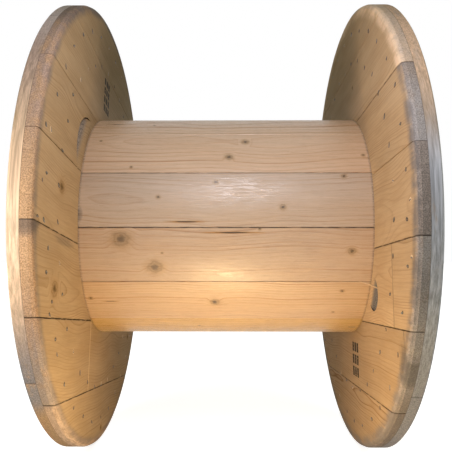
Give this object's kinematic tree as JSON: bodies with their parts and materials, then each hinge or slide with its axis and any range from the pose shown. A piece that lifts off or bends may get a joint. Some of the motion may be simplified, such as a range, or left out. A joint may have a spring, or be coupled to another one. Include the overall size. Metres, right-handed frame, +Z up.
{
  "type": "wooden cable drum",
  "caption": "Wooden cable drum with round flanges of crossed boards, a staved barrel, a spindle bore and tie rods, for winding, storing and paying out cable.",
  "frame": {"origin": "on the drum's axis, midway between the flanges", "axes": "+X along the drum's axis, from the left flange to the right one; -Y towards the camera; +Z up, with the drum lying on its rims"},
  "size_m": [0.7146, 1, 1],
  "materials": {
    "flange_wood": "rough-sawn softwood, weathered on the rims",
    "barrel_wood": "planed softwood, unfinished",
    "fastener_steel": "dull zinc plating"
  },
  "bodies": {
    "root": {"left_inner_board_1": "flange_wood", "left_inner_board_2a": "flange_wood", "left_inner_board_2b": "flange_wood", "left_inner_board_3": "flange_wood", "left_inner_board_4": "flange_wood", "left_inner_board_5": "flange_wood", "left_inner_board_6": "flange_wood", "left_inner_board_7": "flange_wood", "left_nuts": "fastener_steel", "left_outer_board_1": "flange_wood", "left_outer_board_2": "flange_wood", "left_outer_board_3": "flange_wood", "left_outer_board_4": "flange_wood", "left_outer_board_5": "flange_wood", "left_outer_board_6": "flange_wood", "left_outer_board_7": "flange_wood", "left_washers": "fastener_steel", "right_inner_board_1": "flange_wood", "right_inner_board_2": "flange_wood", "right_inner_board_3a": "flange_wood", "right_inner_board_3b": "flange_wood", "right_inner_board_4": "flange_wood", "right_inner_board_5": "flange_wood", "right_inner_board_6": "flange_wood", "right_inner_board_7": "flange_wood", "right_nuts": "fastener_steel", "right_outer_board_1": "flange_wood", "right_outer_board_2": "flange_wood", "right_outer_board_3": "flange_wood", "right_outer_board_4": "flange_wood", "right_outer_board_5": "flange_wood", "right_outer_board_6": "flange_wood", "right_outer_board_7": "flange_wood", "right_washers": "fastener_steel", "stave_01": "barrel_wood", "stave_02": "barrel_wood", "stave_03": "barrel_wood", "stave_04": "barrel_wood", "stave_05": "barrel_wood", "stave_06": "barrel_wood", "stave_07": "barrel_wood", "stave_08": "barrel_wood", "stave_09": "barrel_wood", "stave_10": "barrel_wood", "stave_11": "barrel_wood", "stave_12": "barrel_wood", "stave_13": "barrel_wood", "stave_14": "barrel_wood", "tie_rod_1": "fastener_steel", "tie_rod_2": "fastener_steel", "tie_rod_3": "fastener_steel", "tie_rod_4": "fastener_steel"}
  },
  "joints": []
}
